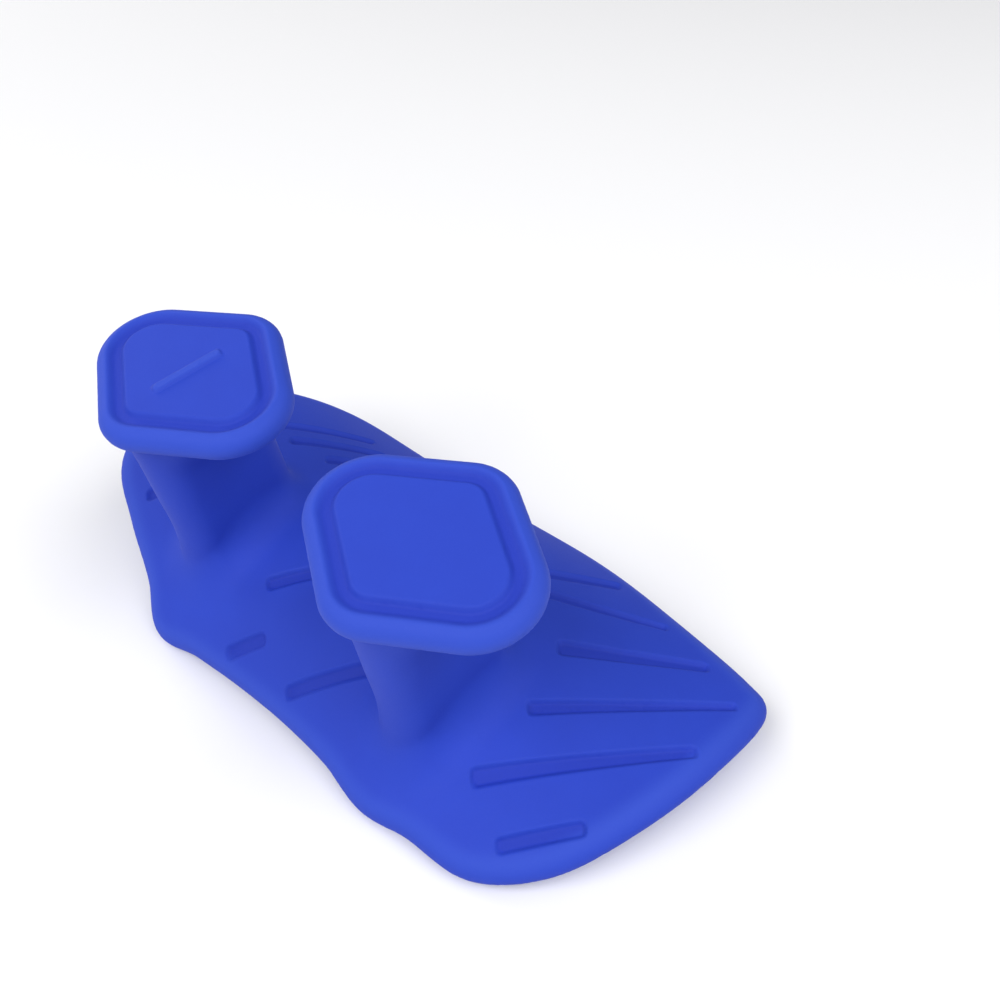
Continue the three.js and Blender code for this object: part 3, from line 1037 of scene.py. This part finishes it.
def pattern_kinds(sizes):
    """What is pressed in. Columns: name, places, corner radius, taper, depth in metres, side"""
    grooves = bar_places(GROOVES, GROOVE_WIDTH)
    wide_fans = bar_places(WIDE_FAN_GROOVES, WIDE_FAN_WIDTH)
    fans = bar_places(FAN_GROOVES, GROOVE_WIDTH)
    cap_bars = bar_places(CAP_BARS, CAP_BAR_WIDTH)
    return (
        ("grooves", grooves, GROOVE_CORNER, 1.0, sizes.groove_depth, "hand_side"),
        ("wide_fan_grooves", wide_fans, WIDE_FAN_CORNER, FAN_TAPER, sizes.groove_depth, "hand_side"),
        ("fan_grooves", fans, FAN_CORNER, FAN_TAPER, sizes.groove_depth, "hand_side"),
        ("pockets", pocket_places(), POCKET_CORNER, 1.0, sizes.pocket_depth, "grip_side"),
        ("dimples", dimple_places(), DIMPLE_CORNER, 1.0, sizes.dimple_depth, "grip_side"),
        ("cap_bars", cap_bars, CAP_BAR_CORNER, 1.0, -sizes.bar_height, "cap_side"),
    )


def sides(mould, points):
    """Which points belong to the sides that carry the pattern."""
    off = mould.over_pad(points)[1]
    hand_side = (off > SIDE_FROM) & (off < mould.rim_radius + FILLET_GROOVE_REACH)
    cap_side = (points[:, 2] > -CAP_TOP_REACH) & (mould.nearest_cap(points) < MOAT_WALL_FROM)
    return {"hand_side": hand_side, "grip_side": off < -SIDE_FROM, "cap_side": cap_side}


def moulding_mesh(sizes):
    """The moulding's surface, with mesh edges laid where the moats and the pattern have theirs."""
    mould = Moulding(sizes)
    cell = sizes.mesh_cell / MM
    low, high = np.array(MOULD_LOW), np.array(MOULD_HIGH)
    shape = np.ceil((high - low) / cell).astype(int)
    values = sample_near_surface(mould.surface, low, shape, cell)
    points, faces = net_over(values, low, cell)
    points = even_out(points, faces, mould.surface)
    triangles = halve(points, faces)

    def over_cap(at):
        return np.where(at[:, 2] > -CAP_TOP_REACH, mould.nearest_cap(at), FAR)

    points, triangles = split_along(points, triangles, over_cap, MOAT_LINES)
    for _, places, corner, taper, _, side in pattern_kinds(sizes):

        def to_pattern(at):
            distance = distance_to_outlines(at, places, corner, taper)
            return np.where(sides(mould, at)[side], distance, FAR)

        lines = [-WALL_WIDTH * share for share in WALL_SHARES]
        points, triangles = split_along(points, triangles, to_pattern, lines)
    points = pull_to_surface(points, mould.surface)
    weights = sides(mould, points)
    # The rims get a painted highlight, and the moat and recess floors painted shade, each as a mesh
    # attribute that the material mixes in
    weights["rim"] = mould.rims(points)
    recess = mould.moat(points)
    for _, places, corner, taper, depth, side in pattern_kinds(sizes):
        share = smooth_step(0.0, -WALL_WIDTH, distance_to_outlines(points, places, corner, taper))
        share *= weights[side]
        if depth > 0.0:
            recess = np.maximum(recess, share)
        else:
            # The raised bar gets the same painted highlight as the rims
            weights["rim"] = np.maximum(weights["rim"], share)
    weights["recess"] = smooth_step(PAINTED_SHADE_FROM, 1.0, recess)
    points[:, 2] -= mould.moat_depth * mould.moat(points)

    mesh = bpy.data.meshes.new("silicone_pad")
    mesh.from_pydata(points * MM, [], triangles)
    for name, weight in weights.items():
        mesh.attributes.new(name, "FLOAT", "POINT").data.foreach_set("value", weight.astype(np.float32))
    return mesh


def press_pattern(piece, sizes, material):
    """Presses the grooves, pockets and dimples in, and raises the bar on the cap."""
    tree = pressing_tree()
    helpers = []
    for name, places, corner, taper, depth, side in pattern_kinds(sizes):
        spots = places_object(name + "_places", places, corner)
        outline = outline_object(name + "_outline", taper)
        helpers += [spots, outline]
        modifier = piece.modifiers.new(name, "NODES")
        modifier.node_group = tree
        set_inputs(
            modifier,
            Places=spots,
            Outline=outline,
            Side=side,
            Corner_Radius=corner * MM,
            Depth=depth,
            Wall_Width=WALL_WIDTH * MM,
            Material=material,
        )
    bake(piece)
    for helper in helpers:
        bpy.data.meshes.remove(helper.data)
    for name in ("hand_side", "grip_side", "cap_side"):
        piece.data.attributes.remove(piece.data.attributes[name])


class GRIP_PAD_OT_make_moulding(bpy.types.Operator):
    """Makes the silicone moulding, with its moats, grooves, pockets and dimples, as it lies on a table"""

    bl_idname = "grip_pad.make_moulding"
    bl_label = "Make Moulding"

    def execute(self, context):
        sizes, colours = context.scene.grip_pad_sizes, context.scene.grip_pad_colours
        piece = bpy.data.objects.new("silicone_pad", moulding_mesh(sizes))
        context.scene.collection.objects.link(piece)
        press_pattern(piece, sizes, moulded_silicone(colours))
        lay_on_table(piece.data)
        piece.data.polygons.foreach_set("use_smooth", [True] * len(piece.data.polygons))
        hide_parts(CAD_NODE)
        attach(piece, "root")
        return {"FINISHED"}


def lay_on_table(mesh):
    """Tips the moulding to its rest and sets it down in its place."""
    tip_x = Matrix.Rotation(math.radians(REST_TILT_X_DEG), 4, "X")
    tip_y = Matrix.Rotation(math.radians(REST_TILT_Y_DEG), 4, "Y")
    mesh.transform(Matrix.Translation(Vector(REST_PLACE) * MM) @ tip_y @ tip_x)


class GRIP_PAD_OT_make_stage(bpy.types.Operator):
    """Makes the floor, the soft studio lights and the camera"""

    bl_idname = "grip_pad.make_stage"
    bl_label = "Make Stage"

    def execute(self, context):
        mesh = bpy.data.meshes.new("studio_floor")
        corners = [(x * FLOOR_REACH, y * FLOOR_REACH, 0.0) for x, y in ((-1, -1), (1, -1), (1, 1), (-1, 1))]
        mesh.from_pydata(corners, [], [(0, 1, 2, 3)])
        mesh.materials.append(studio_paper(context.scene.grip_pad_colours.floor))
        floor = bpy.data.objects.new("studio_floor", mesh)
        context.scene.collection.objects.link(floor)
        context.scene.view_settings.view_transform = "Standard"
        world = context.scene.world or bpy.data.worlds.new("World")
        context.scene.world = world
        world.use_nodes = True
        sky = world.node_tree.nodes["Background"]
        sky.inputs["Color"].default_value = linear("#FFFFFF")
        sky.inputs["Strength"].default_value = WORLD_STRENGTH
        for name, place, size, power in LIGHTS:
            lamp = bpy.data.lights.new(name, "AREA")
            lamp.shape = "DISK"
            lamp.size = size
            lamp.energy = power
            holder = bpy.data.objects.new(name, lamp)
            holder.location = place
            aim = Vector(LIGHTS_AIM) - Vector(place)
            holder.rotation_euler = aim.to_track_quat("-Z", "Y").to_euler()
            context.scene.collection.objects.link(holder)
        camera = bpy.data.cameras.new("camera")
        camera.lens = CAMERA_LENS
        camera.sensor_width = CAMERA_SENSOR
        camera.clip_start = CAMERA_CLIP_START
        holder = bpy.data.objects.new("camera", camera)
        right, up = Vector(CAMERA_RIGHT), Vector(CAMERA_UP)
        back = right.cross(up)
        turn = Matrix((right, up, back)).transposed().to_4x4()
        holder.matrix_world = Matrix.Translation(Vector(CAMERA_PLACE) * MM) @ turn
        context.scene.collection.objects.link(holder)
        context.scene.camera = holder
        return {"FINISHED"}


class GRIP_PAD_PT_panel(bpy.types.Panel):
    """Lists the sizes, the colours and the steps"""

    bl_label = "Grip Pad"
    bl_idname = "GRIP_PAD_PT_panel"
    bl_space_type = "VIEW_3D"
    bl_region_type = "UI"
    bl_category = "Grip Pad"

    def draw(self, context):
        layout = self.layout
        for group in (context.scene.grip_pad_sizes, context.scene.grip_pad_colours):
            for name in group.__annotations__:
                layout.prop(group, name)
        for operator in STEPS:
            layout.operator(operator.bl_idname)


STEPS = (GRIP_PAD_OT_make_moulding, GRIP_PAD_OT_make_stage)
CLASSES = (MouldSizes, StudioColours, *STEPS, GRIP_PAD_PT_panel)


def register():
    for kind in CLASSES:
        bpy.utils.register_class(kind)
    bpy.types.Scene.grip_pad_sizes = PointerProperty(type=MouldSizes)
    bpy.types.Scene.grip_pad_colours = PointerProperty(type=StudioColours)


def unregister():
    del bpy.types.Scene.grip_pad_colours
    del bpy.types.Scene.grip_pad_sizes
    for kind in reversed(CLASSES):
        bpy.utils.unregister_class(kind)


def main():
    register()
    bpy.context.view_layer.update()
    bpy.ops.grip_pad.make_moulding()
    bpy.ops.grip_pad.make_stage()


if __name__ == "__main__":
    main()
